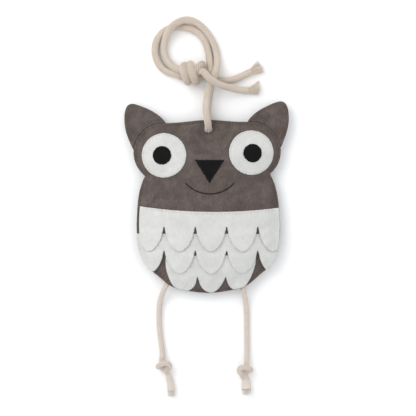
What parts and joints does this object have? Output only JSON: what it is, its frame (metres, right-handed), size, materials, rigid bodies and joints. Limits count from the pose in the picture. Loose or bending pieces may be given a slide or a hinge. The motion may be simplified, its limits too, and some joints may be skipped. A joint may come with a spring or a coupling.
{
  "type": "stuffed hanging puppet",
  "caption": "Flat stuffed suede owl with sewn eyes, beak and overlapping rows of scallops, folding ears, knotted cord legs and a looped hanging rope.",
  "frame": {"origin": "middle of the sewn body's outline, on the surface that its back lies on", "axes": "+Z out of the face, +Y towards the top of the head, +X to the right of a viewer who faces the owl"},
  "size_m": [0.1978, 0.4574, 0.0334],
  "materials": {
    "suede": "grey-brown brushed suede",
    "white_suede": "off-white brushed suede",
    "black_felt": "black pressed felt",
    "black_thread": "black sewing thread",
    "white_thread": "white sewing thread",
    "brown_thread": "grey-brown sewing thread",
    "filling": "loose polyester fibre",
    "braided_rope": "braided beige and cream cotton",
    "cotton_cord": "twisted natural cotton"
  },
  "bodies": {
    "owl": {"front_panel": "suede", "back_panel": "suede", "filling": "filling", "left_eye": "white_suede", "right_eye": "white_suede", "left_pupil": "black_felt", "right_pupil": "black_felt", "beak": "black_felt", "beak_stitching": "black_thread", "smile_thread": "black_thread", "left_eye_stitching": "white_thread", "right_eye_stitching": "white_thread", "edge_stitching": "brown_thread", "left_leg_root": "cotton_cord", "right_leg_root": "cotton_cord", "left_leg_tack": "brown_thread", "right_leg_tack": "brown_thread"},
    "left_ear": {"left_ear_front": "suede", "left_ear_back": "suede", "left_ear_stitching": "brown_thread"},
    "right_ear": {"right_ear_front": "suede", "right_ear_back": "suede", "right_ear_stitching": "brown_thread"},
    "feathers_top": {"feather_row_top": "white_suede", "feather_stitching_top": "white_thread"},
    "feathers_middle": {"feather_row_middle": "white_suede", "feather_stitching_middle": "white_thread"},
    "feathers_bottom": {"feather_row_bottom": "white_suede", "feather_stitching_bottom": "white_thread"},
    "rope": {"rope_front_strand": "braided_rope", "rope_rear_strand": "braided_rope", "rope_knot": "braided_rope", "rope_front_tail": "braided_rope", "rope_rear_tail": "braided_rope", "rope_front_fray": "braided_rope", "rope_rear_fray": "braided_rope"},
    "left_leg": {"left_leg_cord": "cotton_cord", "left_leg_knot": "cotton_cord", "left_foot": "cotton_cord", "left_foot_fray": "cotton_cord"},
    "right_leg": {"right_leg_cord": "cotton_cord", "right_leg_knot": "cotton_cord", "right_foot": "cotton_cord", "right_foot_fray": "cotton_cord"}
  },
  "joints": [
    {"name": "rope_lift", "type": "hinge", "parent": "owl", "child": "rope", "pos_m": [0.0019, 0.091, 0.0125], "axis": [1, 0, 0], "range_deg": [0, 75]},
    {"name": "left_ear_fold", "type": "hinge", "parent": "owl", "child": "left_ear", "pos_m": [-0.07549, 0.08308, 0.0141], "axis": [0.781, 0.6246, 0], "range_deg": [0, 60]},
    {"name": "right_ear_fold", "type": "hinge", "parent": "owl", "child": "right_ear", "pos_m": [0.07549, 0.08308, 0.0141], "axis": [0.781, -0.6246, 0], "range_deg": [0, 60]},
    {"name": "left_leg_swing", "type": "hinge", "parent": "owl", "child": "left_leg", "pos_m": [-0.0528, -0.1062, 0.0125], "axis": [0, 0, 1], "range_deg": [-25, 25]},
    {"name": "right_leg_swing", "type": "hinge", "parent": "owl", "child": "right_leg", "pos_m": [0.0408, -0.1116, 0.0125], "axis": [0, 0, 1], "range_deg": [-25, 25]},
    {"name": "feathers_top_lift", "type": "hinge", "parent": "owl", "child": "feathers_top", "pos_m": [0.00785, -0.00873, 0.0336], "axis": [-0.9999, 0.0168, 0], "range_deg": [0, 40]},
    {"name": "feathers_middle_lift", "type": "hinge", "parent": "owl", "child": "feathers_middle", "pos_m": [0.00298, -0.04296, 0.033], "axis": [-0.9999, 0.0168, 0], "range_deg": [0, 28]},
    {"name": "feathers_bottom_lift", "type": "hinge", "parent": "owl", "child": "feathers_bottom", "pos_m": [0.00255, -0.06875, 0.032], "axis": [-0.9999, 0.0168, 0], "range_deg": [0, 18]}
  ],
  "couplings": [
    {"joint": "feathers_middle_lift", "follows": "feathers_top_lift", "ratio": 0.68},
    {"joint": "feathers_bottom_lift", "follows": "feathers_top_lift", "ratio": 0.42}
  ]
}
